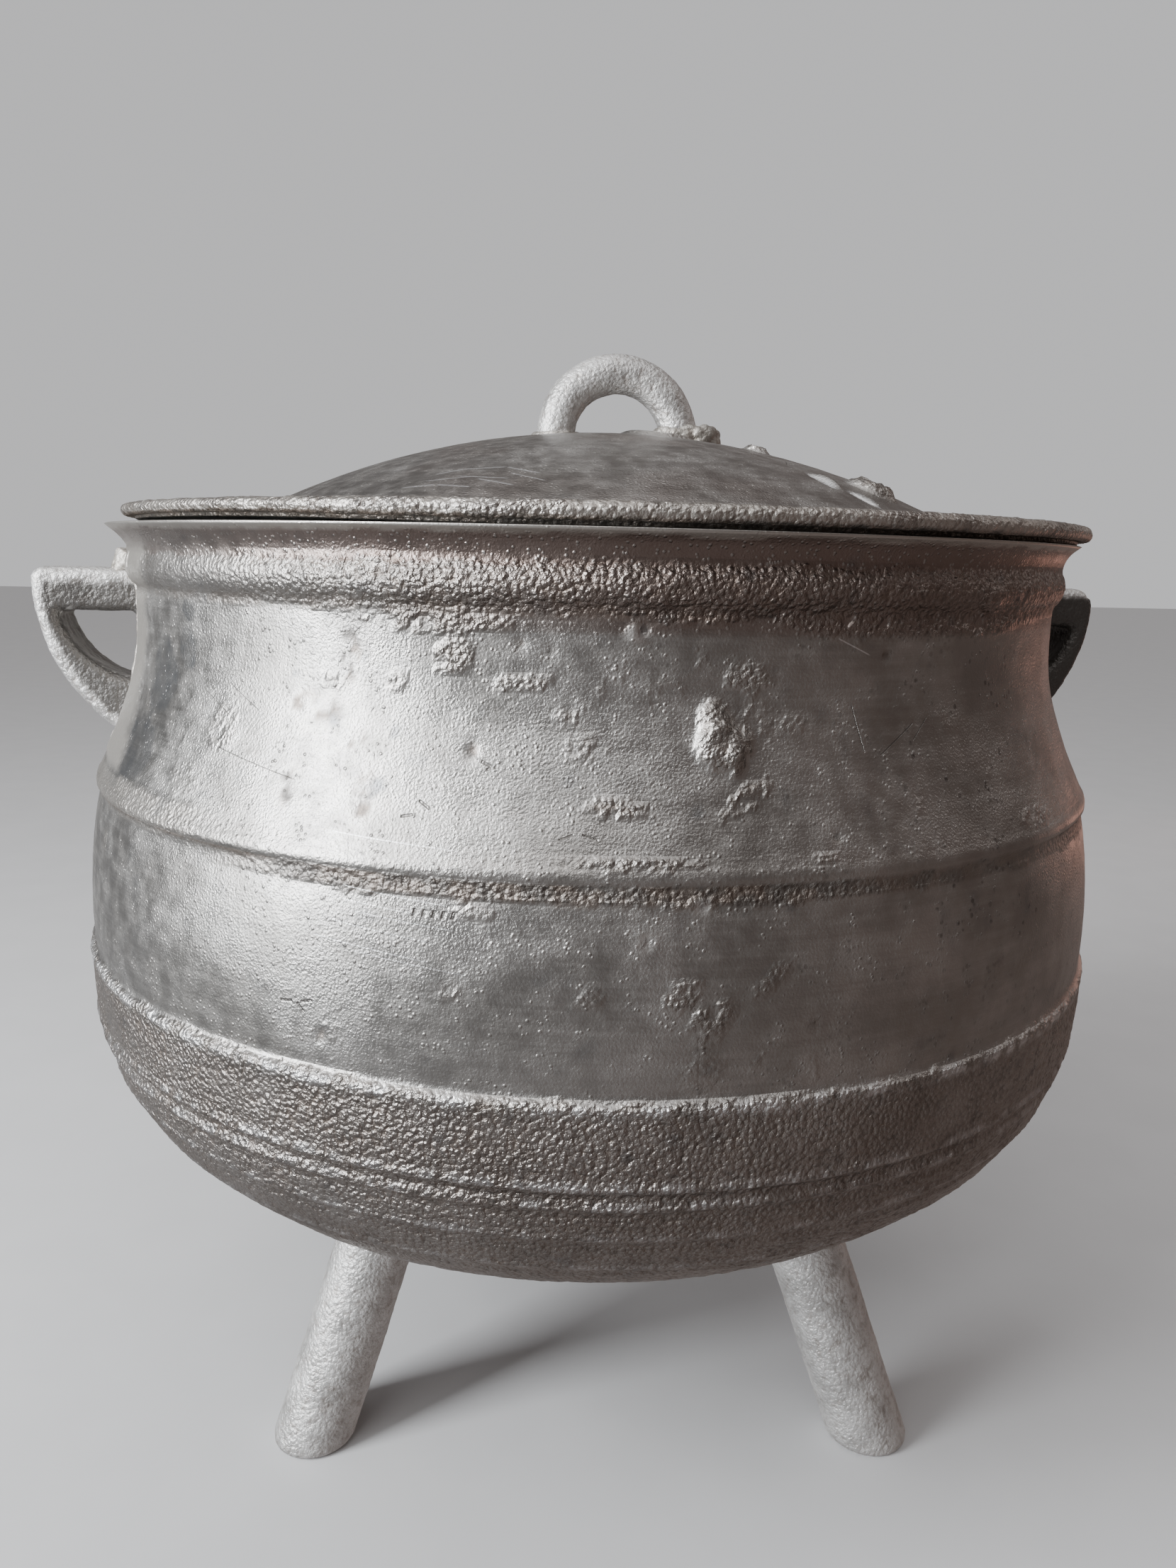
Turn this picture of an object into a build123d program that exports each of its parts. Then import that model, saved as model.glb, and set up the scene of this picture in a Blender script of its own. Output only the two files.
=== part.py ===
"""A three-legged cast-aluminium pot: bowl, ears, legs, domed lid and loop handle."""
from build123d import *
from math import cos, radians, sin, sqrt
import os

os.makedirs("parts", exist_ok=True)

# ---------------------------------------------------------------- driving dimensions
# The pot stands on z = 0 with its axis on the Z axis. The ears point along +X and -X.
rim_radius = 148.6
rim_height = 294.0
wall = 4.5

# bowl, outside
rim_land = 8.5            # width of the flat ring on top of the rim
flare_depth = 8.0         # from the rim's top to the bead below it
flare_waist = 143.6       # radius where the flare meets the neck bead
flare_hollow = (4.2, 4.0) # how far the flare's middle lies in from the rim, and above its foot
neck_bead_height = 9.0
neck_bead_proud = 1.0
neck_radius = 142.0
waist_height = 256.0
waist_radius = 143.0
band_top = 225.0          # the raised band round the middle
band_bottom = 218.5
band_radius = 153.2       # wall radius at the band's top edge
band_proud = 2.0
band_bulge = 0.9          # how far the band's face bows out
band_slope = 0.30         # outward run of the wall per unit of drop, where it meets the band
belly_height = 194.0
belly_radius = 158.8
belly_top_slope = 0.25    # outward run of the wall per unit of drop, below the band
belly_low_slope = -0.08   # and above the ridge
ridge_height = 172.0      # the sharp ridge under the belly
ridge_radius = 160.0
ridge_step = 2.0          # height of the little slope that leads out to the ridge
bottom_height = 87.5
bottom_squareness = 2.7   # exponent of the bottom's superellipse; 2 would be an ellipse
mouth_slope = -0.2        # outward run of the inner wall per unit of drop, below the rim

# ears
ear_reach = 175.2         # distance of an ear's tip from the pot's axis
ear_top = 281.0
ear_width = 20.0          # along Y
ear_top_bar = 13.0        # height of the level upper arm
ear_bar = 7.5             # thickness of the bar round the tip
ear_drop = 50.0           # from the ear's top to where its lower arm meets the wall
ear_lower_reach = 152.0   # radius at which the lower arm meets the wall
ear_corner = 4.0          # corner radius at the tip
ear_edge_round = 3.2
ear_root = 3.0            # thickness of the strip that lies on the wall
ear_gap_drop = 21.0       # height of the finger gap beside the wall
ear_gap_bend = 5.5        # how far the gap's curved side leans in at its middle
ear_gap_middle = 0.56     # that middle's depth, as a share of the gap's height
ear_gap_corner = 1.5
seam_spread = 4.5         # how far the joining metal runs out round the ear
seam_thickness = 2.0
seam_corner = 6.0

# legs
leg_diameter = 25.5
leg_foot_round = 2.0
leg_seam_spread = 3.0     # how far the joining metal stands out at the bowl
leg_seam_edge = 0.5       # and at its thin lower edge
leg_seam_length = 7.0     # along the leg
leg_top_height = 100.5    # height at which the legs' reach at the top is taken
LEGS = {                  # name: (direction from +X in degrees, reach at foot, reach at top)
    "leg_front_left": (-155.6, 103.5, 67.5),
    "leg_front_right": (-35.5, 110.5, 70.5),
    "leg_rear": (84.4, 107.0, 69.0),
}

# lid
lid_shift = (2.6, -0.4)   # the lid lies a little off centre, towards +X
lid_radius = 148.0
lid_gap = 1.2             # daylight between the flange and the rim
lid_thickness = 4.0
lid_edge_round = 1.7
lid_seat_radius = 144.4   # the lid rests on the rim inside this radius
lid_lip_radius = 134.0    # the lip under the lid, loose enough to let it lie off centre
lid_lip_depth = 6.0
lid_lip_width = 4.0
dome_radius = 110.0
dome_rise = 27.0

# lid handle
handle_shift = 3.2        # off the lid's centre, towards +X
handle_half_width = 20.2  # from the handle's middle to a foot's centre line
handle_bar = 12.4
handle_top = 352.0
handle_foot_depth = 8.0   # how far the blank runs below the lid's crown before it is trimmed
right_weld_shift = 3.0    # off the foot's centre line, away from the handle's middle
# length along X, width, height above the crown, depth below it, side slope in degrees, edge round
LEFT_WELD = (19.0, 18.0, 2.6, 6.0, 12, 1.0)
RIGHT_WELD = (24.0, 19.0, 4.0, 8.0, 6, 2.5)


# ---------------------------------------------------------------- bowl
rim_inner = rim_radius - rim_land
flare_bottom = rim_height - flare_depth
bead_bottom = flare_bottom - neck_bead_height
bead_middle = (flare_bottom + bead_bottom) / 2
band_middle = (band_top + band_bottom) / 2


def draw_bottom(radius, lowest):
    """The round bottom's section, a quarter superellipse from the ridge down to the axis."""
    steps = 10
    power = 2 / bottom_squareness
    depth = ridge_height - lowest
    points = [(radius, ridge_height)]
    for step in range(1, steps):
        angle = radians(90 * step / steps)
        points.append((radius * cos(angle) ** power, ridge_height - depth * sin(angle) ** power))
    points.append((0, lowest))
    Spline(*points, tangents=[(0, -1), (-1, 0)])


def draw_bowl_outside():
    """The outside of the bowl's section, from the rim down to the axis."""
    Spline(
        (rim_radius, rim_height),
        (rim_radius - flare_hollow[0], flare_bottom + flare_hollow[1]),
        (flare_waist, flare_bottom),
    )
    ThreePointArc(
        (flare_waist, flare_bottom),
        (flare_waist + neck_bead_proud, bead_middle),
        (neck_radius, bead_bottom),
    )
    Spline(
        (neck_radius, bead_bottom),
        (waist_radius, waist_height),
        (band_radius, band_top),
        tangents=[(0, -1), (band_slope, -1)],
    )
    ThreePointArc(
        (band_radius, band_top),
        (band_radius + band_proud + band_bulge, band_middle),
        (band_radius + band_proud, band_bottom),
    )
    Spline(
        (band_radius + band_proud, band_bottom),
        (belly_radius, belly_height),
        (belly_radius, ridge_height + ridge_step),
        tangents=[(belly_top_slope, -1), (belly_low_slope, -1)],
    )
    Line((belly_radius, ridge_height + ridge_step), (ridge_radius, ridge_height))
    draw_bottom(ridge_radius, bottom_height)


def draw_bowl_inside():
    """The smooth inside of the bowl's section, from the rim down to the axis."""
    Line((rim_inner, rim_height), (flare_waist - wall, flare_bottom))
    Spline(
        (flare_waist - wall, flare_bottom),
        (neck_radius - wall, bead_bottom),
        (waist_radius - wall, waist_height),
        (band_radius - wall, band_top),
        (belly_radius - wall, belly_height),
        (ridge_radius - wall, ridge_height),
        tangents=[(mouth_slope, -1), (0, -1)],
    )
    draw_bottom(ridge_radius - wall, bottom_height + wall)


with BuildPart() as bowl_filled:
    with BuildSketch(Plane.XZ):
        with BuildLine():
            draw_bowl_outside()
            Polyline((0, bottom_height), (0, rim_height), (rim_radius, rim_height))
        make_face()
    revolve(axis=Axis.Z)

with BuildPart() as bowl_hollow:
    with BuildSketch(Plane.XZ):
        with BuildLine():
            draw_bowl_inside()
            Polyline((0, bottom_height + wall), (0, rim_height), (rim_inner, rim_height))
        make_face()
    revolve(axis=Axis.Z)

with BuildPart() as bowl:
    add(bowl_filled.part)
    add(bowl_hollow.part, mode=Mode.SUBTRACT)
bowl.part.label = "bowl"
export_step(bowl.part, "parts/bowl.step")


# ---------------------------------------------------------------- ears
wall_overlap = 12.0       # how far an ear's blank runs into the wall before it is trimmed
tolerance = 0.01
blank_x = neck_radius - wall_overlap
gap_x = neck_radius + ear_root
gap_tip_x = ear_reach - ear_bar
gap_top = ear_top - ear_top_bar
ear_bottom = ear_top - ear_drop


def draw_ear_outline():
    """The outside of an ear on the +X side: a level top and a curved lower arm."""
    drop = ear_drop - ear_corner
    inset = ear_reach - ear_lower_reach
    radius = (inset**2 + drop**2) / (2 * inset)
    blank_drop = sqrt(radius**2 - (radius - (ear_reach - blank_x)) ** 2)
    start = (ear_reach, ear_top - ear_corner)
    end = (blank_x, ear_top - ear_corner - blank_drop)
    Line((blank_x, ear_top), (ear_reach - ear_corner, ear_top))
    RadiusArc((ear_reach - ear_corner, ear_top), start, ear_corner)
    TangentArc(start, end, tangent=(0, -1))
    Line(end, (blank_x, ear_top))


def draw_ear_gap():
    """The finger gap: level above, upright beside the wall, curved below."""
    low = (gap_x, gap_top - ear_gap_drop)
    bend = (gap_tip_x - ear_gap_bend, gap_top - ear_gap_middle * ear_gap_drop)
    Line((gap_x, gap_top), (gap_tip_x, gap_top))
    ThreePointArc((gap_tip_x, gap_top), bend, low)
    Line(low, (gap_x, gap_top))


def build_ear(mirrored):
    """An ear trimmed to the bowl's wall, on the +X side, or mirrored onto the -X side."""
    with BuildPart() as blank:
        with BuildSketch(Plane.XZ):
            with BuildLine():
                draw_ear_outline()
            make_face()
        extrude(amount=ear_width / 2, both=True)
        with BuildSketch(Plane.XZ) as gap:
            with BuildLine():
                draw_ear_gap()
            make_face()
            fillet(gap.vertices(), ear_gap_corner)
        extrude(amount=ear_width, both=True, mode=Mode.SUBTRACT)
        side_edges = blank.edges().filter_by(
            lambda edge: abs(abs(edge.center().Y) - ear_width / 2) < tolerance
            and edge.center().X > blank_x + tolerance
        )
        fillet(side_edges, ear_edge_round)
    with BuildPart() as ear:
        add(blank.part)
        add(bowl_filled.part, mode=Mode.SUBTRACT)
        if mirrored:
            mirror(about=Plane.YZ, mode=Mode.REPLACE)
    return ear


# The joining metal is a thin skin over the wall behind the ear's root.
seam_bottom = ear_bottom - seam_spread
seam_top = ear_top + seam_spread
seam_middle = (seam_bottom + seam_top) / 2
seam_plane = Plane(origin=(blank_x, 0, seam_middle), x_dir=(0, 1, 0), z_dir=(1, 0, 0))

with BuildPart() as seam_skin:
    with BuildSketch(Plane.XZ):
        with BuildLine():
            top = (flare_waist + seam_thickness, seam_top)
            middle = (waist_radius + seam_thickness, waist_height)
            bottom = (band_radius + seam_thickness, seam_bottom)
            Spline(top, middle, bottom)
            Polyline(bottom, (blank_x, seam_bottom), (blank_x, seam_top), top)
        make_face()
    revolve(axis=Axis.Z)
    with BuildSketch(seam_plane):
        RectangleRounded(ear_width + 2 * seam_spread, seam_top - seam_bottom, seam_corner)
    extrude(amount=2 * wall_overlap, mode=Mode.INTERSECT)


def build_ear_seam(mirrored, ear_blank):
    """The smeared metal that joins an ear to the wall."""
    with BuildPart() as seam:
        add(seam_skin.part)
        add(bowl_filled.part, mode=Mode.SUBTRACT)
        if mirrored:
            mirror(about=Plane.YZ, mode=Mode.REPLACE)
        add(ear_blank, mode=Mode.SUBTRACT)
    return seam


for ear_name, is_mirrored in (("ear_left", True), ("ear_right", False)):
    ear = build_ear(is_mirrored)
    ear.part.label = ear_name
    export_step(ear.part, f"parts/{ear_name}.step")
    ear_seam = build_ear_seam(is_mirrored, ear.part)
    ear_seam.part.label = f"{ear_name}_seam"
    export_step(ear_seam.part, f"parts/{ear_name}_seam.step")


# ---------------------------------------------------------------- legs
def build_leg(direction, foot_reach, top_reach):
    """A splayed round rod, cut level at the floor and trimmed to the bowl, and its seam."""
    outward = Vector(cos(radians(direction)), sin(radians(direction)), 0)
    foot = outward * foot_reach
    top = outward * top_reach + Vector(0, 0, leg_top_height)
    along = top - foot
    leg_radius = leg_diameter / 2
    with BuildPart() as leg:
        with BuildSketch(Plane(origin=foot - along.normalized() * leg_diameter, z_dir=along)):
            Circle(leg_radius)
        extrude(amount=along.length + 2 * leg_diameter)
        split(bisect_by=Plane.XY, keep=Keep.TOP)
        fillet(leg.edges().group_by(Axis.Z)[0], leg_foot_round)
        add(bowl_filled.part, mode=Mode.SUBTRACT)
    along = along.normalized()
    meeting_point = leg.part.faces().sort_by(Axis.Z)[-1].center()
    seam_start = meeting_point - along * leg_seam_length
    with BuildPart() as seam:
        with BuildSketch(Plane(origin=seam_start, z_dir=along)):
            Circle(leg_radius + leg_seam_edge)
        with BuildSketch(Plane(origin=meeting_point, z_dir=along)):
            Circle(leg_radius + leg_seam_spread)
        with BuildSketch(Plane(origin=meeting_point + along * leg_seam_length, z_dir=along)):
            Circle(leg_radius + leg_seam_spread)
        loft(ruled=True)
        add(bowl_filled.part, mode=Mode.SUBTRACT)
        add(leg.part, mode=Mode.SUBTRACT)
    return leg, seam


for leg_name, placing in LEGS.items():
    leg, leg_seam = build_leg(*placing)
    leg.part.label = leg_name
    export_step(leg.part, f"parts/{leg_name}.step")
    leg_seam.part.label = f"{leg_name}_seam"
    export_step(leg_seam.part, f"parts/{leg_name}_seam.step")


# ---------------------------------------------------------------- lid
flange_bottom = rim_height + lid_gap
flange_top = flange_bottom + lid_thickness
crown = flange_top + dome_rise
lid_plane = Plane(origin=(lid_shift[0], lid_shift[1], 0), x_dir=(1, 0, 0), z_dir=(0, -1, 0))
lid_axis = Axis((lid_shift[0], lid_shift[1], 0), (0, 0, 1))
sphere_radius = (dome_radius**2 + dome_rise**2) / (2 * dome_rise)
inner_sphere_radius = sphere_radius - lid_thickness
inner_dome_rise = crown - lid_thickness - flange_bottom
inner_dome_radius = sqrt(inner_sphere_radius**2 - (inner_sphere_radius - inner_dome_rise) ** 2)


def draw_dome(radius, top, edge_radius, edge_height):
    """An arc of the dome's section, from its top on the axis out to its edge."""
    halfway = edge_radius / 2
    halfway_height = top - radius + sqrt(radius**2 - halfway**2)
    ThreePointArc((0, top), (halfway, halfway_height), (edge_radius, edge_height))


with BuildPart() as lid:
    with BuildSketch(lid_plane):
        with BuildLine():
            draw_dome(sphere_radius, crown, dome_radius, flange_top)
            Line((dome_radius, flange_top), (lid_radius - lid_edge_round, flange_top))
            ThreePointArc(
                (lid_radius - lid_edge_round, flange_top),
                (lid_radius, (flange_top + flange_bottom) / 2),
                (lid_radius - lid_edge_round, flange_bottom),
            )
            Polyline(
                (lid_radius - lid_edge_round, flange_bottom),
                (lid_seat_radius, flange_bottom),
                (lid_seat_radius, rim_height),
                (lid_lip_radius, rim_height),
                (lid_lip_radius, rim_height - lid_lip_depth),
                (lid_lip_radius - lid_lip_width, rim_height - lid_lip_depth),
                (lid_lip_radius - lid_lip_width, flange_bottom),
                (inner_dome_radius, flange_bottom),
            )
            draw_dome(inner_sphere_radius, crown - lid_thickness, inner_dome_radius, flange_bottom)
            Line((0, crown - lid_thickness), (0, crown))
        make_face()
    revolve(axis=lid_axis)
lid.part.label = "lid"
export_step(lid.part, "parts/lid.step")

with BuildPart() as lid_filled:
    with BuildSketch(lid_plane):
        with BuildLine():
            draw_dome(sphere_radius, crown, dome_radius, flange_top)
            Polyline((dome_radius, flange_top), (dome_radius, rim_height), (0, rim_height), (0, crown))
        make_face()
    revolve(axis=lid_axis)


# ---------------------------------------------------------------- lid handle
handle_x = lid_shift[0] + handle_shift
handle_radius = handle_bar / 2
arch_centre = handle_top - handle_radius - handle_half_width
handle_plane = Plane(origin=(handle_x, lid_shift[1], 0), x_dir=(1, 0, 0), z_dir=(0, -1, 0))
foot_bottom = crown - handle_foot_depth
left_foot = (handle_x - handle_half_width, lid_shift[1])
right_foot = (handle_x + handle_half_width, lid_shift[1])

with BuildPart() as handle_blank:
    with BuildLine(handle_plane) as handle_path:
        Line((-handle_half_width, foot_bottom), (-handle_half_width, arch_centre))
        ThreePointArc(
            (-handle_half_width, arch_centre),
            (0, arch_centre + handle_half_width),
            (handle_half_width, arch_centre),
        )
        Line((handle_half_width, arch_centre), (handle_half_width, foot_bottom))
    with BuildSketch(Plane(origin=(left_foot[0], left_foot[1], foot_bottom), z_dir=(0, 0, 1))):
        Circle(handle_radius)
    sweep()

with BuildPart() as lid_handle:
    add(handle_blank.part)
    add(lid_filled.part, mode=Mode.SUBTRACT)
lid_handle.part.label = "lid_handle"
export_step(lid_handle.part, "parts/lid_handle.step")


def build_handle_weld(foot, length, width, height, depth, taper, edge_round):
    """A low oval mound of weld metal round one foot of the handle."""
    with BuildPart() as mound:
        with BuildSketch(Plane(origin=(foot[0], foot[1], crown - depth), z_dir=(0, 0, 1))):
            Ellipse(length / 2, width / 2)
        extrude(amount=height + depth, taper=taper)
        fillet(mound.edges().group_by(Axis.Z)[-1], edge_round)
        add(lid_filled.part, mode=Mode.SUBTRACT)
        add(handle_blank.part, mode=Mode.SUBTRACT)
    return mound


left_weld = build_handle_weld(left_foot, *LEFT_WELD)
left_weld.part.label = "lid_handle_weld_left"
export_step(left_weld.part, "parts/lid_handle_weld_left.step")

right_middle = (right_foot[0] + right_weld_shift, right_foot[1])
right_weld = build_handle_weld(right_middle, *RIGHT_WELD)
right_weld.part.label = "lid_handle_weld_right"
export_step(right_weld.part, "parts/lid_handle_weld_right.step")
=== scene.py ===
"""The looks of a three-legged cast pot: rough sand-cast metal, smeared joints, nicks and scratches."""
from functools import reduce
from math import cos, pi, radians, sin

import bpy
import numpy as np
from mathutils import Matrix, Vector
from mathutils.bvhtree import BVHTree


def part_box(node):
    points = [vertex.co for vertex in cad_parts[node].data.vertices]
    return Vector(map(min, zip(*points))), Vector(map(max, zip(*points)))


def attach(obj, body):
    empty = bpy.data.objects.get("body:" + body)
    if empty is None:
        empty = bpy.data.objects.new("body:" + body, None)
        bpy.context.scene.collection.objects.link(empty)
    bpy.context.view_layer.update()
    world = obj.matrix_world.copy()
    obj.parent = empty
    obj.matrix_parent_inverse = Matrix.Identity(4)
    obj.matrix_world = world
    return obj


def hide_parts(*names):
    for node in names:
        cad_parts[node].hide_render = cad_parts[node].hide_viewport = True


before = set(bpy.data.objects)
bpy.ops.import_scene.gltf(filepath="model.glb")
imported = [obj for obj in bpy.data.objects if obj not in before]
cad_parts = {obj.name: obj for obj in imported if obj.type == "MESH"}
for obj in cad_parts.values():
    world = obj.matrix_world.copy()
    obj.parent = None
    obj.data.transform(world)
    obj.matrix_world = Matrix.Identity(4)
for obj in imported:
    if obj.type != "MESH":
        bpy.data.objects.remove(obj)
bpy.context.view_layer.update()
MM = 0.001


# ---------------------------------------------------------------- random numbers over space
def lattice(cells, seed):
    """A pseudo-random number from 0 to 1 for each whole-number cell."""
    mixed = cells[:, 0] * 73856093 ^ cells[:, 1] * 19349663 ^ cells[:, 2] * 83492791
    mixed = (mixed ^ seed * 40503) & 0xFFFFFFFF
    mixed = ((mixed ^ mixed >> 15) * 0x2C1B3C6D) & 0xFFFFFFFF
    mixed = ((mixed ^ mixed >> 12) * 0x297A2D39) & 0xFFFFFFFF
    mixed = mixed ^ mixed >> 15
    return (mixed & 0xFFFFFF) / 0xFFFFFF


def soft_noise(points, size, seed):
    """Smooth random numbers from -1 to 1 that change over about size metres."""
    scaled = points / size
    cells = np.floor(scaled).astype(np.int64)
    part = scaled - cells
    part = part * part * (3 - 2 * part)
    total = np.zeros(len(points))
    for corner in np.ndindex(2, 2, 2):
        weight = np.prod(np.where(corner, part, 1 - part), axis=1)
        total += weight * lattice(cells + np.array(corner), seed)
    return 2 * total - 1


def cloud(points, size, seed, layers=3):
    """soft_noise in several layers, each half as large and half as strong as the one before."""
    total = np.zeros(len(points))
    for layer in range(layers):
        total += soft_noise(points, size / 2**layer, seed + layer) / 2**layer
    return total / (2 - 2 ** (1 - layers))


def beads(points, size, seed):
    """Rounded grains about size metres apart: 1 on top of a grain, falling to 0 between them."""
    scaled = points / size
    cells = np.floor(scaled).astype(np.int64)
    nearest = np.full(len(points), 9.0)
    for step in np.ndindex(3, 3, 3):
        there = cells + np.array(step) - 1
        centre = there + np.stack([lattice(there, seed + axis) for axis in range(3)], axis=1)
        nearest = np.minimum(nearest, ((scaled - centre) ** 2).sum(axis=1))
    return 1 - np.clip(nearest / 0.7, 0, 1)


def ramp(values, start, end):
    """0 at start, 1 at end, and a smooth rise between them."""
    share = np.clip((values - start) / (end - start), 0, 1)
    return share * share * (3 - 2 * share)


def band(values, low, high, soft):
    """1 between low and high, fading to 0 over soft on either side."""
    return ramp(values, low - soft, low) * (1 - ramp(values, high, high + soft))


def highest(*layers):
    """The largest of several numbers, vertex by vertex."""
    return reduce(np.maximum, layers)


# ---------------------------------------------------------------- meshes
def add_object(name, data):
    made = bpy.data.objects.new(name, data)
    bpy.context.scene.collection.objects.link(made)
    return made


def make_piece(name, mesh, body, nodes, material):
    """A smooth-shaded piece that stands for CAD nodes and rides on a CAD body."""
    piece = add_object(name, mesh)
    mesh.shade_smooth()
    mesh.materials.clear()
    mesh.materials.append(material)
    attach(piece, body)
    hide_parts(*nodes)


def store(mesh, **stored):
    """Keeps one number for each vertex under each name, for a material to read."""
    for name, values in stored.items():
        attribute = mesh.attributes.new(name, "FLOAT", "POINT")
        attribute.data.foreach_set("value", np.asarray(values, np.float32))


def vertex_positions(mesh):
    positions = np.empty(len(mesh.vertices) * 3)
    mesh.vertices.foreach_get("co", positions)
    return positions.reshape(-1, 3)


def set_positions(mesh, positions):
    mesh.vertices.foreach_set("co", positions.ravel())
    mesh.update()


def vertex_normals(mesh):
    normals = np.empty(len(mesh.vertices) * 3)
    mesh.vertex_normals.foreach_get("vector", normals)
    return normals.reshape(-1, 3)


def node_tree_of(node):
    """A CAD node's mesh, ready for rays and nearest points."""
    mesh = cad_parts[node].data
    return BVHTree.FromPolygons([v.co for v in mesh.vertices], [p.vertices for p in mesh.polygons])


def resample(section, spacing_at):
    """Points along a section's line, spacing_at(radius, height) apart."""
    steps = np.linalg.norm(np.diff(section, axis=0), axis=1)
    middles = (section[1:] + section[:-1]) / 2
    count = np.concatenate([[0], np.cumsum(steps / spacing_at(middles[:, 0], middles[:, 1]))])
    wanted = np.linspace(0, count[-1], int(count[-1]) + 1)
    return np.stack([np.interp(wanted, count, section[:, axis]) for axis in range(2)], axis=1)


def spin(section, columns, centre):
    """A closed mesh from a section that starts and ends on the axis, turned about the axis at centre."""
    rows = section[1:-1]
    turn = np.arange(columns) * 2 * pi / columns
    x = centre[0] + np.outer(rows[:, 0], np.cos(turn))
    y = centre[1] + np.outer(rows[:, 0], np.sin(turn))
    z = np.repeat(rows[:, 1:], columns, axis=1)
    ring = np.stack([x, y, z], axis=2).reshape(-1, 3)
    poles = [(centre[0], centre[1], section[0, 1]), (centre[0], centre[1], section[-1, 1])]
    positions = np.concatenate([ring, poles])
    here = np.arange(columns)
    after = (here + 1) % columns
    starts = np.arange(len(rows) - 1)[:, None] * columns
    corners = [starts + here, starts + after, starts + columns + after, starts + columns + here]
    quads = np.stack(corners, axis=2).reshape(-1, 4)
    first_pole = len(ring)
    last_row = (len(rows) - 1) * columns
    caps = [(first_pole, b, a) for a, b in zip(here, after)]
    caps += [(first_pole + 1, last_row + a, last_row + b) for a, b in zip(here, after)]
    faces = quads.tolist() + [tuple(int(v) for v in cap) for cap in caps]
    mesh = bpy.data.meshes.new("spun")
    mesh.from_pydata(positions.tolist(), [], faces)
    mesh.update()
    return mesh


def push(mesh, distances):
    """Moves each vertex along its normal by its own distance in metres."""
    set_positions(mesh, vertex_positions(mesh) + vertex_normals(mesh) * distances[:, None])


# ---------------------------------------------------------------- materials
class Graph:
    """A few short names for building one material's nodes."""

    def __init__(self, name):
        self.material = bpy.data.materials.new(name)
        self.material.use_nodes = True
        self.tree = self.material.node_tree
        self.shader = self.tree.nodes["Principled BSDF"]
        self.place = self.tree.nodes.new("ShaderNodeTexCoord").outputs["Object"]

    def node(self, kind, **settings):
        made = self.tree.nodes.new(kind)
        for name, value in settings.items():
            setattr(made, name, value)
        return made

    def join(self, source, socket):
        """Links a socket, or sets a plain value."""
        if isinstance(source, bpy.types.NodeSocket):
            self.tree.links.new(source, socket)
        else:
            socket.default_value = source

    def math(self, operation, first, second=0.0, clamp=False):
        made = self.node("ShaderNodeMath", operation=operation, use_clamp=clamp)
        self.join(first, made.inputs[0])
        self.join(second, made.inputs[1])
        return made.outputs[0]

    def times(self, first, second):
        return self.math("MULTIPLY", first, second)

    def plus(self, first, second):
        return self.math("ADD", first, second)

    def fade(self, value, start, end, low=0.0, high=1.0):
        """A smooth change from low at start to high at end."""
        made = self.node("ShaderNodeMapRange", interpolation_type="SMOOTHSTEP")
        names = ("Value", "From Min", "From Max", "To Min", "To Max")
        for source, name in zip((value, start, end, low, high), names):
            self.join(source, made.inputs[name])
        return made.outputs["Result"]

    def stored(self, name):
        return self.node("ShaderNodeAttribute", attribute_name=name).outputs["Fac"]

    def noise(self, size, detail, place=None, roughness=0.5):
        made = self.node("ShaderNodeTexNoise")
        self.join(self.place if place is None else place, made.inputs["Vector"])
        made.inputs["Scale"].default_value = 1 / size
        made.inputs["Detail"].default_value = detail
        made.inputs["Roughness"].default_value = roughness
        return made.outputs["Fac"]

    def grains(self, size):
        """1 on top of each rounded grain and lower between them."""
        made = self.node("ShaderNodeTexVoronoi", feature="F1")
        self.join(self.place, made.inputs["Vector"])
        made.inputs["Scale"].default_value = 1 / size
        return self.math("SUBTRACT", 1.0, made.outputs["Distance"])

    def mix(self, share, first, second, kind="RGBA"):
        """A colour share of the way from first to second."""
        made = self.node("ShaderNodeMix", data_type=kind)
        self.join(share, made.inputs["Factor"])
        self.join(first, made.inputs["A"])
        self.join(second, made.inputs["B"])
        return made.outputs["Result"]

    def blend(self, share, first, second):
        """A number share of the way from first to second."""
        return self.mix(share, first, second, "FLOAT")

    def round_axis(self, centre):
        """Distance from an upright axis, angle from the front in radians, and height."""
        split = self.node("ShaderNodeSeparateXYZ")
        self.join(self.place, split.inputs[0])
        x = self.math("SUBTRACT", split.outputs["X"], centre[0])
        y = self.math("SUBTRACT", split.outputs["Y"], centre[1])
        backward = self.times(y, -1.0)
        angle = self.math("ARCTAN2", x, backward)
        squares = self.plus(self.times(x, x), self.times(y, y))
        return self.math("SQRT", squares), angle, split.outputs["Z"]

    def vector(self, x, y, z):
        made = self.node("ShaderNodeCombineXYZ")
        for source, name in zip((x, y, z), "XYZ"):
            self.join(source, made.inputs[name])
        return made.outputs[0]

    def finish(self, colour, roughness, height, depth, metallic):
        bump = self.node("ShaderNodeBump")
        bump.inputs["Strength"].default_value = 1.0
        bump.inputs["Distance"].default_value = depth
        self.join(height, bump.inputs["Height"])
        self.join(bump.outputs["Normal"], self.shader.inputs["Normal"])
        self.join(colour, self.shader.inputs["Base Color"])
        self.join(roughness, self.shader.inputs["Roughness"])
        self.shader.inputs["Metallic"].default_value = metallic
        return self.material


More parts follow.
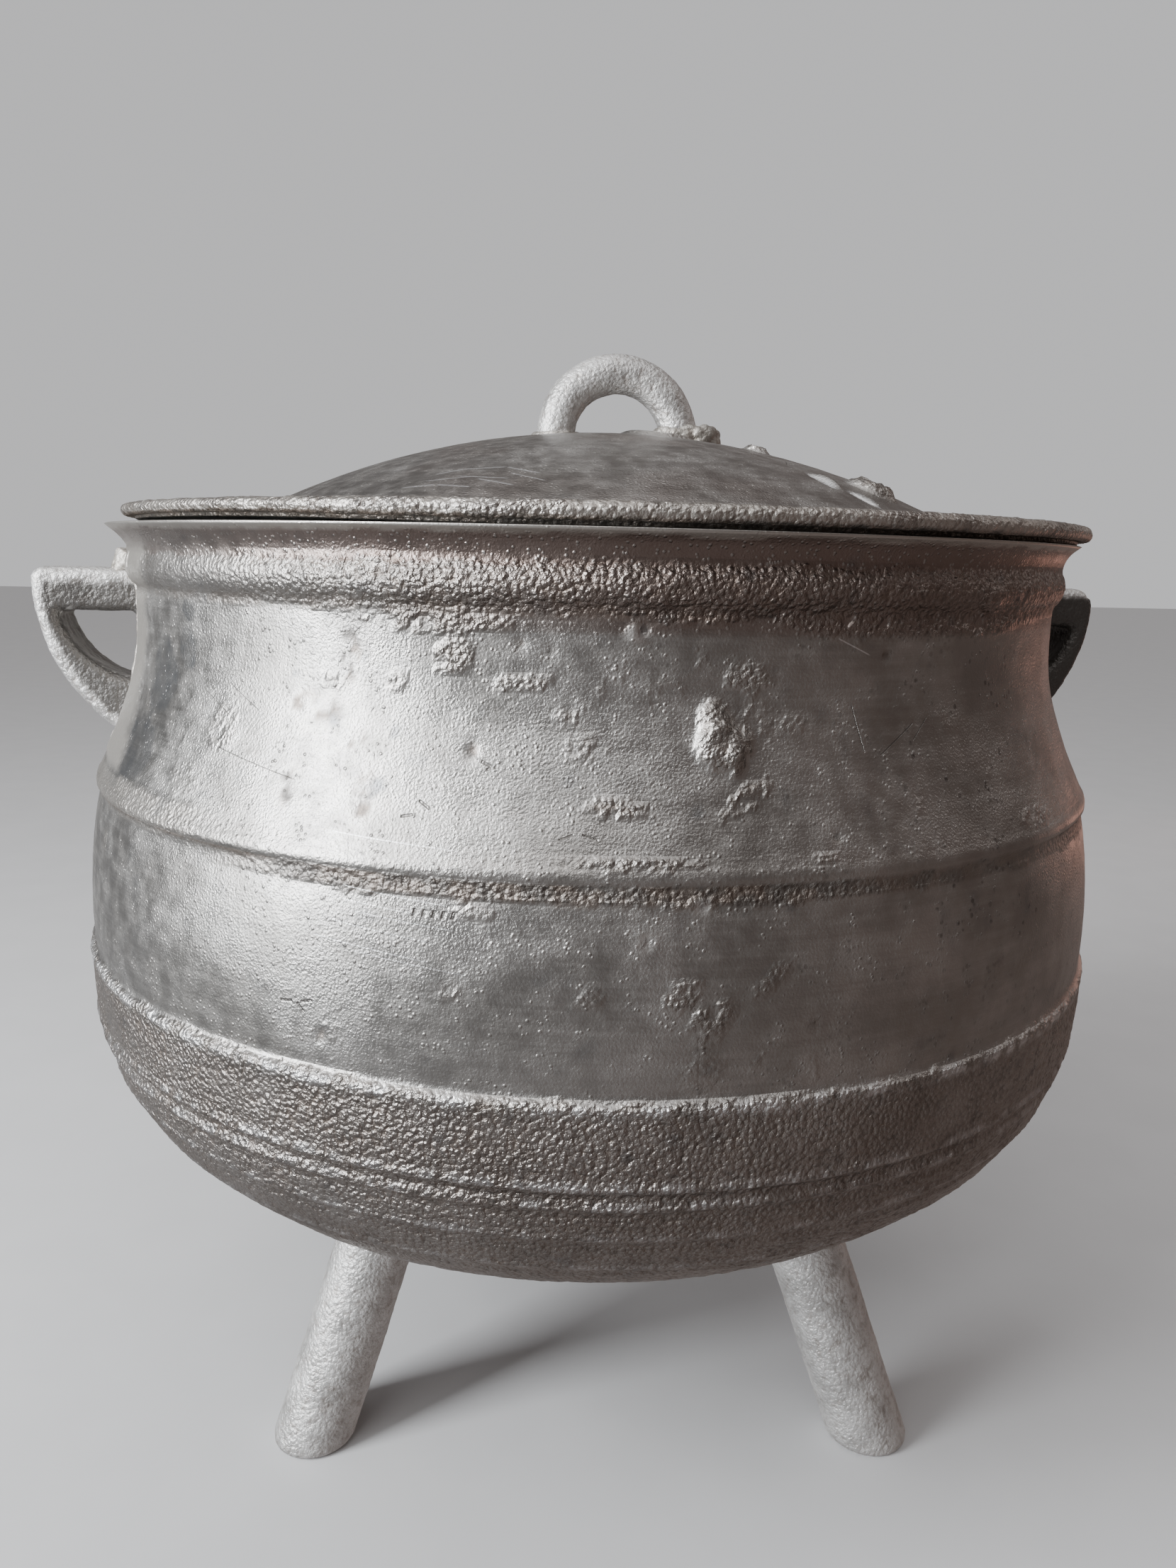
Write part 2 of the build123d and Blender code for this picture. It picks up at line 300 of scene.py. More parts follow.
BARE = (0.48, 0.465, 0.45, 1)       # clean ground aluminium
DULL = (0.33, 0.315, 0.30, 1)       # the same, weathered
SOOT = (0.045, 0.036, 0.030, 1)     # dirt in the hollows; mixed with EARTH it also paints the shade under the lid's edge
EARTH = (0.20, 0.145, 0.11, 1)      # brown moulding sand; mixed with SOOT it also paints the shade under the lid's edge
BROWN_FILM_AND_REFLECTION = (0.23, 0.175, 0.155, 1)      # the brown film, and the painted warm reflection on the right of the bowl's neck
FROST = (0.70, 0.69, 0.68, 1)       # pale oxide on the cast rods
SMEAR = (0.57, 0.54, 0.50, 1)       # joining metal
SHINE = (0.80, 0.80, 0.81, 1)       # freshly scraped metal, and the painted highlights on the glint lines, the rings and the ridge
GRIME_AND_SHADE = (0.095, 0.088, 0.082, 1)    # grey-brown: painted shade on the ears' fronts and undersides, a painted shadow on the right ear, and a film on the welds
SLATE = (0.155, 0.16, 0.17, 1)      # smooth weathered patches


def scratch_mask(graph, angle, height, radius, scratches):
    """1 along each (angle in degrees, height, length, tilt in degrees, width) scratch, sizes in mm."""
    total = None
    for at_angle, at_height, length, tilt, width in scratches:
        across = graph.math("SUBTRACT", angle, radians(at_angle))
        across = graph.times(across, radius)
        up = graph.math("SUBTRACT", height, at_height * MM)
        cosine = cos(radians(tilt))
        sine = sin(radians(tilt))
        along = graph.plus(graph.times(across, cosine), graph.times(up, sine))
        off = graph.math("SUBTRACT", graph.times(up, cosine), graph.times(across, sine))
        inside = graph.fade(graph.math("ABSOLUTE", along), length / 2 * MM, length / 2.6 * MM)
        line = graph.fade(graph.math("ABSOLUTE", off), width * MM, width / 3 * MM)
        one = graph.times(inside, line)
        total = one if total is None else graph.math("MAXIMUM", total, one)
    return total


def turned_metal(name, centre, scratches, glints, scratch_radius, streak_size, on_top):
    """Aluminium cast in sand and ground on its smoother parts, by numbers stored on the mesh."""
    graph = Graph(name)
    distance, angle, height = graph.round_axis(centre)
    names = ("grain", "bright", "stain", "hollow", "brown", "pale", "grey")
    grain, bright, stain, hollow, brown, pale, grey = (graph.stored(name) for name in names)
    split = graph.node("ShaderNodeSeparateXYZ")
    graph.join(graph.place, split.inputs[0])
    slow_x = graph.times(split.outputs["X"], 0.04)
    slow_y = graph.times(split.outputs["Y"], 0.04)
    streak_place = graph.vector(slow_x, graph.plus(distance, slow_y), height)
    streaks = graph.noise(streak_size, 5.0, streak_place, 0.7)
    fine = graph.noise(0.62 * MM, 2.0)
    crinkle = graph.noise(0.95 * MM, 2.0)
    beading = graph.grains(1.35 * MM)
    coarse = graph.blend(0.55, beading, crinkle)
    blotch = graph.noise(26 * MM, 5.0, None, 0.6)
    small_blotch = graph.noise(6 * MM, 4.0, None, 0.6)
    upward = distance if on_top else height
    marks = scratch_mask(graph, angle, upward, scratch_radius, scratches)
    shine = scratch_mask(graph, angle, upward, scratch_radius, glints)

    # height of the fine relief
    skin = graph.times(fine, graph.fade(blotch, 0.38, 0.62, 0.20, 0.38))
    skin = graph.plus(skin, graph.times(streaks, 0.05))
    dotted = graph.math("MAXIMUM", graph.fade(small_blotch, 0.48, 0.62), brown)
    dots = graph.times(graph.fade(beading, 0.62, 0.90), dotted)
    skin = graph.plus(skin, graph.times(dots, 0.27))
    rough = graph.times(coarse, 2.15)
    relief = graph.blend(grain, skin, rough)
    relief = graph.times(relief, graph.fade(pale, 0.0, 1.0, 1.0, 0.45))
    relief = graph.math("SUBTRACT", relief, graph.times(marks, 0.3))

    # colour
    worn = graph.plus(graph.times(blotch, 0.85), graph.times(streaks, 0.15))
    colour = graph.mix(graph.fade(worn, 0.36, 0.64), DULL, BARE)
    speck = graph.fade(graph.grains(2.1 * MM), 0.60, 0.80)
    speck = graph.times(speck, graph.fade(small_blotch, 0.50, 0.64))
    speck_share = graph.plus(graph.times(stain, 0.35), 0.24)
    colour = graph.mix(graph.times(speck, speck_share), colour, SOOT)
    crease = graph.fade(coarse, 0.50, 0.36)
    crease = graph.times(crease, graph.times(grain, 0.6))
    # the stored hollows also hold the painted shade under the lid's edge, so this darkening is partly
    # painted shade
    crease = graph.math("MAXIMUM", crease, hollow, clamp=True)
    dirt_and_shade = graph.mix(graph.fade(small_blotch, 0.4, 0.6), EARTH, SOOT)
    colour = graph.mix(graph.times(grain, 0.22), colour, EARTH)
    between_dots = graph.math("SUBTRACT", 1.0, graph.times(dots, 0.8))
    # brown film, and the painted warm reflection on the right of the neck
    colour = graph.mix(graph.times(brown, between_dots), colour, BROWN_FILM_AND_REFLECTION)
    # dirt colour in the creases and hollows, and painted shade under the lid's edge
    colour = graph.mix(graph.times(crease, 0.6), colour, dirt_and_shade)
    colour = graph.mix(graph.times(stain, 0.14), colour, SOOT)
    colour = graph.mix(graph.times(grey, 0.9), colour, SLATE)
    colour = graph.mix(graph.times(pale, 0.85), colour, SMEAR)
    colour = graph.mix(graph.times(marks, 0.5), colour, SOOT)
    # painted highlights: the glint lines, the rings and the ridge are drawn towards SHINE, as are the
    # freshly scraped gouges
    bright = graph.math("MAXIMUM", bright, graph.times(shine, 0.7))
    colour = graph.mix(bright, colour, SHINE)

    # gloss
    gloss = graph.fade(streaks, 0.30, 0.70, 0.29, 0.34)
    gloss = graph.plus(gloss, graph.fade(small_blotch, 0.35, 0.65, 0.0, 0.12))
    gloss = graph.blend(grain, gloss, 0.37)
    gloss = graph.plus(gloss, graph.times(crease, 0.2))
    gloss = graph.blend(grey, gloss, 0.38)
    gloss = graph.blend(pale, gloss, 0.46)
    gloss = graph.blend(bright, gloss, 0.40)
    return graph.finish(colour, gloss, relief, 0.55 * MM, 1.0)


def rough_metal(name, pale, dark, grain_size, depth, metallic, gloss_low, gloss_high):
    """Metal left as it came from the mould or the torch: pale tops, dark hollows."""
    graph = Graph(name)
    hollow = graph.stored("hollow")
    stain = graph.stored("stain")
    crinkle = graph.noise(grain_size * 0.6, 2.0)
    coarse = graph.blend(0.55, graph.grains(grain_size), crinkle)
    fine = graph.noise(0.5 * MM, 1.0, None, 0.6)
    blotch = graph.noise(9 * MM, 4.0, None, 0.6)
    relief = graph.plus(graph.times(coarse, 1.6), graph.times(fine, 0.3))
    colour = graph.mix(graph.fade(blotch, 0.30, 0.60), dark, pale)
    crease = graph.fade(coarse, 0.50, 0.34)
    crease = graph.math("MAXIMUM", graph.times(crease, 0.35), hollow, clamp=True)
    colour = graph.mix(graph.times(crease, 0.5), colour, EARTH)
    # the stored darkening is painted shade on the ears, a painted shadow on the right ear, and a
    # grey-brown film on the welds
    colour = graph.mix(stain, colour, GRIME_AND_SHADE)
    gloss = graph.fade(blotch, 0.3, 0.7, gloss_low, gloss_high)
    return graph.finish(colour, gloss, relief, depth, metallic)


# ---------------------------------------------------------------- bowl
pot_tree = node_tree_of("bowl")
heart = Vector((0, 0, 190 * MM))    # a point inside the bowl that sees the whole of its wall
rim_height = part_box("bowl")[1].z

# heights on the bowl, in mm
LIP_LOW = 292.5          # foot of the thin lip round the rim
FLARE_LOW = 286.0        # foot of the flare, and top of the bead below it
BEAD_LOW = 276.5         # foot of the bead round the neck
LEDGE_TOP = 225.5        # where the raised band's ledge meets the neck
BAND_HIGH = 219.0        # the raised band's sharp lower edge
BAND_LOW = 216.4         # foot of the rough strip under it
RIDGE = 171.4            # the sharp ridge under the belly, which leans a little
RIDGE_LEAN = 0.006       # its drop for each mm to the right


def read_bowl_section():
    """The bowl's section, from the axis under the bottom, over the rim, and down inside to the axis."""
    outside = []
    inside = []
    steps = 2400
    low = -pi / 2 + 0.0005
    rim_inner = pot_tree.ray_cast(Vector((0, 0, rim_height - 0.1 * MM)), Vector((1, 0, 0)))[0].x
    high = np.arctan2(rim_height - heart.z, rim_inner)
    for angle in np.linspace(low, high - 0.0003, steps):
        ray = Vector((cos(angle), 0, sin(angle)))
        near = pot_tree.ray_cast(heart, ray)[0]
        far = pot_tree.ray_cast(near + ray * 0.05 * MM, ray)[0]
        inside.append((near.x, near.z))
        outside.append((far.x, far.z))
    bottom = [(0, outside[0][1])]
    floor_inside = [(0, inside[0][1])]
    return np.array(bottom + outside), np.array(inside[::-1] + floor_inside)


def bowl_spacing(radius, height):
    """Closer together where the metal is rough."""
    height = height / MM
    round_band = band(height, 213, 229, 2)
    round_neck = band(height, 270, 293.5, 2)
    on_bottom = height < 176
    return np.where(round_band + round_neck + on_bottom > 0.5, 1.05 * MM, 1.5 * MM)


def straighten(section, low, high):
    """Lets the wall run straight between two heights, so that the band reads as a ledge."""
    radius, height = section[:, 0], section[:, 1]
    share = (height - low) / (high - low)
    radius_low = np.interp(low, height, radius)
    radius_high = np.interp(high, height, radius)
    straight = radius_low + share * (radius_high - radius_low)
    inside = (share > 0) & (share < 1)
    return np.stack([np.where(inside, np.maximum(radius, straight), radius), height], axis=1)


outer_section, inner_section = read_bowl_section()
outer_section = straighten(outer_section, 221.6 * MM, 235 * MM)
outer_rows = resample(outer_section, bowl_spacing)
inner_rows = resample(inner_section, lambda radius, height: np.full(len(radius), 4.5 * MM))
bowl_columns = 900
bowl_mesh = spin(np.concatenate([outer_rows, inner_rows]), bowl_columns, (0, 0))
outer_count = (len(outer_rows) - 1) * bowl_columns

places = vertex_positions(bowl_mesh)
ring_radius = np.hypot(places[:, 0], places[:, 1])
front_angle = np.degrees(np.arctan2(places[:, 0], -places[:, 1]))
level = places[:, 2] / MM
is_outer = np.zeros(len(places), bool)
is_outer[:outer_count] = True
is_outer[-2] = True     # the point under the middle of the bottom
across_wall = radians(1) * ring_radius / MM     # millimetres for one degree


def patch(at_angle, at_height, half_width, half_height, tilt=0.0):
    """1 in an oval patch of the bowl's wall, on both its sides, fading at its edge; sizes in mm."""
    across = (front_angle - at_angle) * across_wall
    up = level - at_height
    along = across * cos(radians(tilt)) + up * sin(radians(tilt))
    off = up * cos(radians(tilt)) - across * sin(radians(tilt))
    return 1 - ramp(np.hypot(along / half_width, off / half_height), 0.55, 1.15)


# (angle from the front in degrees, height, half width, half height, tilt in degrees, grain)
ROUGH_PATCHES = (
    (4.4, 263.2, 6.0, 2.4, -8, 0.85),
    (-6.7, 235.6, 6.4, 1.5, -3, 0.9),
    (4.2, 237.2, 6.6, 2.5, 30, 0.8),
    (-1.4, 197.1, 4.6, 2.6, 20, 0.85),
    (1.0, 192.2, 5.0, 3.0, 32, 0.85),
    (0.7, 188.3, 3.6, 2.4, 0, 0.6),
    (5.8, 200.0, 5.0, 1.8, 40, 0.6),
    (-8.6, 196.0, 3.0, 2.0, 20, 0.5),
    (0.2, 180.0, 5.0, 4.0, 0, 0.45),
    (-22.6, 273.5, 16.0, 2.2, 0, 0.95),
    (-21.2, 266.2, 4.6, 3.4, 20, 0.85),
    (-26.5, 260.4, 2.6, 2.0, 0, 0.5),
    (-15.0, 260.9, 6.6, 1.5, 2, 0.75),
    (-11.0, 254.0, 2.4, 1.4, 0, 0.7),
    (9.0, 252.5, 3.6, 2.0, 10, 0.45),
    (-5.0, 224.6, 12.6, 1.3, 0, 0.85),
    (10.6, 224.8, 3.4, 1.1, 0, 0.7),
    (-17.6, 213.5, 4.6, 1.3, 0, 0.6),
    (-46.0, 246.0, 6.0, 5.0, 30, 0.35),
    (-50.0, 232.0, 7.0, 4.0, 0, 0.3),
    (27.0, 252.0, 5.0, 2.5, 0, 0.35),
    (38.0, 226.5, 9.0, 2.2, 0, 0.4),
)
wander = cloud(places, 22 * MM, 11)
fray = cloud(places, 5 * MM, 17)
speckle = cloud(places, 2.6 * MM, 19, 2)
sideways = places[:, 0] / MM
not_back = ramp(180 - np.abs(front_angle), 8, 40)
left_side = (1 - ramp(front_angle, -52, -24)) * not_back
bead_grain = 1 - 0.6 * left_side
on_bead = band(level + 2.2 * wander + 1.6 * fray, BEAD_LOW, FLARE_LOW, 1.2)
right_drop = ramp(front_angle, 2, 14) * (1 - ramp(front_angle, 32, 50))
low_edge = BEAD_LOW - 4.0 * right_drop + 2.0 * wander
near_bead = band(level, low_edge, FLARE_LOW, 2.0) * (fray > -0.35)
far_left = (1 - ramp(front_angle, -48, -26)) * not_back
under_band = (1 - far_left) * (1 - 0.45 * ramp(front_angle, 6, 30) * not_back)
below_edge = band(level + 1.4 * fray, BAND_LOW, BAND_HIGH + 0.4, 0.6)
on_ledge = band(level, BAND_HIGH, LEDGE_TOP, 1.2)
ledge_left = (1 - ramp(front_angle + 8 * fray, -54, -38)) * not_back
ledge_left *= band(level + 1.5 * fray, BAND_HIGH + 0.5, LEDGE_TOP + 1, 1.5)
ridge_height = RIDGE - RIDGE_LEAN * sideways
bowl_grain = highest(
    np.zeros(len(places)),
    bead_grain * on_bead,
    0.9 * bead_grain * near_bead,
    0.9 * under_band * below_edge,
    (0.10 + 0.25 * wander) * on_ledge,
    0.65 * ledge_left,
    1 - ramp(level + 1.5 * fray - ridge_height, 0.9, 2.0),
)
calm = ramp(wander, 0.12, 0.5) * band(level, 100, 166, 6)
bowl_grain = bowl_grain * (1 - 0.35 * calm)
for at_angle, at_height, half_width, half_height, tilt, strength in ROUGH_PATCHES:
    oval = patch(at_angle, at_height, half_width * 1.25, half_height * 1.35, tilt)
    bowl_grain = np.maximum(bowl_grain, strength * oval * ramp(speckle + 0.5 * oval, 0.05, 0.4))
stray = ramp(cloud(places, 13 * MM, 23), 0.38, 0.62) * ramp(speckle, -0.1, 0.3)
bowl_grain = np.maximum(bowl_grain, 0.5 * stray * band(level, 176, 272, 3))
flare = band(level + 0.8 * fray, FLARE_LOW + 0.3, LIP_LOW, 0.6)
bowl_grain = np.clip(bowl_grain, 0, 1) * is_outer

grain_tops = beads(places, 2.3 * MM, 31)
small_tops = beads(places, 1.7 * MM, 37)
crinkle = cloud(places, 4.2 * MM, 39, 2)
bowl_relief = bowl_grain * (0.17 * grain_tops + 0.13 * small_tops + 0.12 * crinkle - 0.12)
bowl_relief *= 1 + 0.7 * band(level, 272, FLARE_LOW, 2) * ramp(front_angle, -30, 0) * not_back
bowl_shine = np.zeros(len(places))
bowl_relief += is_outer * (0.04 * cloud(places, 3 * MM, 41) + 0.35 * cloud(places, 70 * MM, 43))

# rings left by the mould on the round bottom, each stronger and weaker along its length
RINGS = ((151.8, 1.0), (146.6, 0.85), (137.0, 0.75), (125.0, 0.6), (112.0, 0.5), (99.0, 0.4))
for ring_height, ring_size in RINGS:
    drift = 0.6 * np.sin(np.radians(front_angle + ring_height)) - 0.0085 * sideways
    off_ring = level - ring_height - drift
    strength = ring_size * (0.75 + 0.5 * wander)
    edge = np.exp(-(off_ring**2) / 1.0) - 0.55 * band(off_ring, -3.4, -1.2, 1.0)
    bowl_relief += is_outer * strength * edge
    # painted highlight just above each ring, broken along its length
    line = np.exp(-((off_ring - 0.5) ** 2) / 0.9) * ramp(speckle + 0.4 * fray, -0.25, 0.35)
    bowl_shine = np.maximum(bowl_shine, 0.5 * ring_size * line * is_outer)
ridge_line = np.exp(-((level - ridge_height - 0.5 * fray) ** 2) / 1.4)
bowl_relief += is_outer * 0.45 * ridge_line * (0.7 + 0.6 * wander + 0.5 * speckle)
band_crease = np.exp(-((level - 219.7 - 0.3 * wander) ** 2) / 0.30)
bowl_relief -= is_outer * 0.5 * band_crease * (1 - 0.6 * right_drop)

# the lump of spilt metal, and the other single marks; they aren't masked by is_outer, so each
# also stands in from the inner wall, by 0.3 to 2.3 mm, which is a known fault
# (angle from the front, height, half width, half height, tilt, height of the lump)
LUMPS = (
    (1.6, 254.0, 3.0, 3.6, 20, 1.2),
    (2.1, 248.8, 4.8, 4.6, 0, 1.9),
    (3.4, 244.8, 2.0, 2.2, 0, 1.2),
    (4.4, 249.0, 1.7, 2.2, 0, 0.8),
    (-5.2, 272.3, 2.2, 2.0, 0, 0.3),
    (-4.3, 208.5, 2.6, 2.4, 0, 0.3),
    (0.0, 215.7, 2.2, 1.8, 0, 0.3),
    (-31.0, 275.5, 6.0, 2.0, 0, 0.3),
    (33.0, 280.0, 5.0, 3.0, 0, 0.6),
)
LUMP_GRAIN = 0.85        # how rough the taller lumps are
for at_angle, at_height, half_width, half_height, tilt, tall in LUMPS:
    oval = patch(at_angle, at_height, half_width * 1.15, half_height * 1.15, tilt)
    oval = ramp(oval + 0.25 * fray * (oval > 0.05), 0.0, 0.85)
    bowl_relief += tall * oval * (0.75 + 0.35 * small_tops)
    bowl_grain = np.maximum(bowl_grain, LUMP_GRAIN * (tall > 0.6) * ramp(oval, 0.05, 0.4))

# single deep pits: (angle from the front, height, radius, depth)
PITS = (
    (-4.7, 272.6, 0.9, 1.2),
    (-4.2, 208.4, 0.8, 1.0),
    (0.1, 215.4, 0.7, 0.8),
    (-10.8, 254.2, 0.7, 0.9),
    (-15.2, 269.2, 0.8, 0.7),
    (-12.6, 267.8, 0.7, 0.6),
    (-19.0, 246.0, 1.1, 0.7),
    (12.0, 229.0, 0.9, 0.6),
    (19.0, 268.0, 0.8, 0.7),
    (-28.0, 283.0, 0.9, 0.9),
    (-30.5, 182.0, 1.0, 0.7),
    (9.5, 188.5, 0.8, 0.6),
)
bowl_hollow = np.zeros(len(places))
for at_angle, at_height, radius, depth in PITS:
    hole = patch(at_angle, at_height, radius * 1.4, radius * 1.4) * is_outer
    bowl_relief -= depth * hole
    bowl_hollow = np.maximum(bowl_hollow, hole)

# groups of fine dark pits: (angle from the front, height, half width, half height, tilt)
PITTED_PATCHES = (
    (-31.2, 265.5, 3.4, 7.0, 0),
    (-35.0, 253.0, 9.5, 3.0, -8),
    (-34.8, 271.6, 3.2, 1.6, 0),
    (-30.1, 246.5, 3.6, 1.6, 0),
    (-28.2, 235.0, 3.0, 6.0, 0),
    (-35.8, 235.0, 3.4, 4.4, 30),
    (-41.3, 241.5, 2.2, 1.6, 0),
)
pit_noise = cloud(places, 1.8 * MM, 61, 2)
for at_angle, at_height, half_width, half_height, tilt in PITTED_PATCHES:
    fine_pits = patch(at_angle, at_height, half_width, half_height, tilt) * ramp(pit_noise, 0.0, 0.18)
    bowl_relief -= 0.2 * fine_pits * is_outer
    bowl_hollow = np.maximum(bowl_hollow, fine_pits * is_outer)

# the unfilled slot above the left ear, then dirt between the grains and along the edges
slot_shape = patch(-72.5, 284.5, 1.2, 3.0, 25) * is_outer
bowl_relief -= 1.2 * slot_shape
strip_dirt = 0.75 * under_band * band(level + fray, BAND_LOW - 0.2, BAND_HIGH + 0.6, 0.8)
bead_dirt = 0.5 * band(level + fray, BEAD_LOW - 1.3, BEAD_LOW + 0.7, 0.9) * (1 - right_drop)
bowl_hollow = highest(
    bowl_hollow,
    slot_shape,
    bowl_grain * ramp(grain_tops + 0.6 * crinkle, 0.3, -0.1) * 0.4,
    is_outer * strip_dirt,
    is_outer * 0.9 * band_crease * (1 - 0.5 * right_drop),
    is_outer * bead_dirt,
)

# the brown film under the rim, on the bead and on the bottom, and a painted warm reflection on the right
# of the neck
bead_brown = 0.7 * not_back * band(level, 273, FLARE_LOW, 2) * ramp(front_angle, -34, -2)
right_painted_reflection = 0.2 * not_back * ramp(front_angle, 25, 60) * ramp(level, 200, 262)
bottom_brown = 0.25 * (1 - ramp(level, 168, 172))
flare_brown = 0.9 * flare * (1 - 0.35 * left_side)
bowl_brown = highest(flare_brown, bead_brown, right_painted_reflection, bottom_brown) * is_outer
bowl_stain = is_outer * band(level, 205, 262, 8) * ramp(front_angle, 17, 24)
bowl_stain *= 1 - ramp(front_angle, 34, 42)
bowl_stain = np.maximum(bowl_stain, is_outer * 0.35 * ramp(cloud(places, 60 * MM, 47), 0.2, 0.6))

# weathered patches, large beside the left ear and small and speckled on the left of the neck
# (angle from the front, height, half width, half height, tilt)
GREY_PATCHES = (
    (-60.0, 254.5, 9.0, 9.0, 10),
    (-54.5, 263.0, 4.0, 5.0, 30),
    (-54.0, 272.5, 3.0, 2.5, 0),
    (-62.0, 235.5, 10.0, 8.5, -10),
    (-66.0, 229.5, 6.0, 5.0, 0),
    (-35.0, 252.5, 3.2, 1.7, 0),
    (-32.4, 250.8, 2.4, 1.6, 0),
    (-29.4, 264.4, 2.6, 2.6, 20),
    (-27.3, 237.4, 2.4, 1.6, 0),
    (-31.5, 241.5, 2.4, 1.5, 0),
    (-26.0, 249.5, 1.8, 1.4, 0),
    (-37.5, 260.5, 2.2, 1.0, 20),
    (-24.0, 243.5, 2.6, 1.6, 0),
)
EAR_PATCHES_END = -50    # the patches further round than this angle are whole
bowl_grey = np.zeros(len(places))
for at_angle, at_height, half_width, half_height, tilt in GREY_PATCHES:
    oval = patch(at_angle, at_height, half_width * 1.2, half_height * 1.2, tilt)
    oval = ramp(oval + 0.6 * fray, 0.15, 0.6) * is_outer
    if at_angle > EAR_PATCHES_END:
        oval *= ramp(speckle, -0.15, 0.15)
    bowl_grey = np.maximum(bowl_grey, oval)
bowl_grey *= 0.6 + 0.5 * speckle

# pale joining metal round the ears, on the left of the ledge, along the lip and round three pits
off_ear_axis = np.abs(places[:, 1]) / MM
smear_reach = np.where(sideways < 0, 50, 28) + 9 * ((level - 256) / 26) ** 2 + 5 * fray
bowl_pale = (1 - ramp(off_ear_axis - smear_reach, 0, 6)) * band(level, 230, FLARE_LOW + 0.5, 4)
lip = ramp(level + 0.5 * fray, LIP_LOW - 0.3, LIP_LOW + 0.2)
bowl_pale = highest(bowl_pale, 0.5 * ledge_left, 0.75 * lip)
for at_angle, at_height in ((-5.2, 272.3), (-4.3, 208.5), (0.0, 215.7)):
    bowl_pale = np.maximum(bowl_pale, 0.6 * patch(at_angle, at_height, 2.6, 2.2))
    bowl_shine = np.maximum(bowl_shine, 0.3 * patch(at_angle, at_height, 2.4, 2.0))
bowl_pale = bowl_pale * is_outer * (1 - bowl_hollow)
bowl_relief += 0.6 * bowl_pale * (level < 288) * (level > 229)
bowl_grain = np.maximum(bowl_grain, 0.3 * bowl_pale * (level < 290))

keep_rim = 1 - ramp(level, 292.8, 293.9)
push(bowl_mesh, bowl_relief * keep_rim * MM)

# the rim was once knocked a little outward on the left
KNOCK = 2.4 * MM
leftward = np.clip(-places[:, 0] / np.maximum(ring_radius, MM), 0, 1) ** 4
knocked = 1 + KNOCK * leftward * ramp(level, 284.5, 293.5) / np.maximum(ring_radius, MM)
moved = vertex_positions(bowl_mesh) * np.stack([knocked, knocked, np.ones(len(knocked))], axis=1)
set_positions(bowl_mesh, moved)

# painted highlight along the sharp ridge under the belly
ridge_shine = 0.7 * is_outer * ridge_line * ramp(speckle, -0.3, 0.3)
store(
    bowl_mesh,
    grain=bowl_grain,
    hollow=bowl_hollow,
    stain=bowl_stain,
    brown=bowl_brown,
    pale=bowl_pale,
    grey=bowl_grey * (1 - bowl_pale),
    bright=np.maximum(bowl_shine, ridge_shine),
)

# (angle from the front in degrees, height, length, tilt in degrees, width), sizes in mm
BOWL_SCRATCHES = [
    (15.6, 251.5, 12.0, -76, 0.20),
    (20.0, 248.6, 14.0, 30, 0.18),
    (23.0, 250.5, 8.0, 42, 0.15),
    (-41.0, 239.2, 31.0, -9, 0.12),
    (-45.5, 255.5, 24.0, -24, 0.11),
    (-47.5, 251.0, 20.0, -22, 0.10),
    (-17.6, 243.6, 3.4, -24, 0.45),
    (-17.2, 242.9, 2.6, 16, 0.40),
    (-10.7, 229.8, 3.6, 22, 0.22),
    (-8.8, 229.9, 3.8, -16, 0.22),
    (-22.6, 234.6, 3.4, -30, 0.40),
    (-24.0, 232.2, 3.0, 12, 0.35),
    (-33.8, 188.6, 3.4, 8, 0.5),
    (-32.4, 187.6, 3.0, -50, 0.5),
    (-31.8, 189.4, 3.2, 14, 0.45),
]
NICKS = 5                # a row of short upright nicks under the band
for nick in range(NICKS):
    BOWL_SCRATCHES.append((-22.5 + 0.8 * nick, 212.4, 1.9, 78, 0.62))
# scratches painted bright as highlights, given the same way
BOWL_GLINTS = (
    (15.3, 269.5, 10.8, -22, 0.22),
    (-25.0, 226.8, 32.0, -3, 0.16),
    (-24.5, 215.4, 26.0, -5, 0.16),
    (-26.0, 212.9, 20.0, -5, 0.14),
    (-23.5, 210.3, 24.0, -5, 0.16),
    (-25.5, 207.6, 26.0, -6, 0.14),
    (-26.5, 203.6, 30.0, -6, 0.18),
    (-23.0, 201.4, 28.0, -6, 0.14),
)
bowl_metal = turned_metal(
    "cast_aluminium_bowl", (0, 0), BOWL_SCRATCHES, BOWL_GLINTS, 150 * MM, 1.3 * MM, False
)
make_piece("bowl_cast", bowl_mesh, "pot", ["bowl"], bowl_metal)


# ---------------------------------------------------------------- lid
lid_tree = node_tree_of("lid")
lid_low, lid_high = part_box("lid")
lid_centre = ((lid_low.x + lid_high.x) / 2, (lid_low.y + lid_high.y) / 2)
lid_radius = (lid_high.x - lid_low.x) / 2


def read_lid_section():
    """The lid's section, from the axis under the crown, out below, round the edge, and back on top."""
    above = []
    below = []
    steps = np.arange(0.2 * MM, lid_radius - 0.3 * MM, 0.25 * MM)
    for radius in np.append(steps, lid_radius - 0.1 * MM):
        x = lid_centre[0] + radius
        top = lid_tree.ray_cast(Vector((x, lid_centre[1], 1)), Vector((0, 0, -1)))[0]
        under = lid_tree.ray_cast(Vector((x, lid_centre[1], 0)), Vector((0, 0, 1)))[0]
        above.append((radius, top.z))
        below.append((radius, under.z))
    edge = [(lid_radius, (above[-1][1] + below[-1][1]) / 2)]
    return np.array([(0, below[0][1])] + below + edge + above[::-1] + [(0, above[0][1])])


lid_section = read_lid_section()
lid_edge_at = int(np.argmax(lid_section[:, 0]))
lid_columns = 800
lid_below = resample(
    lid_section[: lid_edge_at + 1],
    lambda radius, height: np.where(radius > 140 * MM, 0.8 * MM, 3.0 * MM),
)
lid_above = resample(
    lid_section[lid_edge_at:],
    lambda radius, height: np.where(radius > 138 * MM, 0.7 * MM, 1.4 * MM),
)
lid_mesh = spin(np.concatenate([lid_below, lid_above[1:]]), lid_columns, lid_centre)

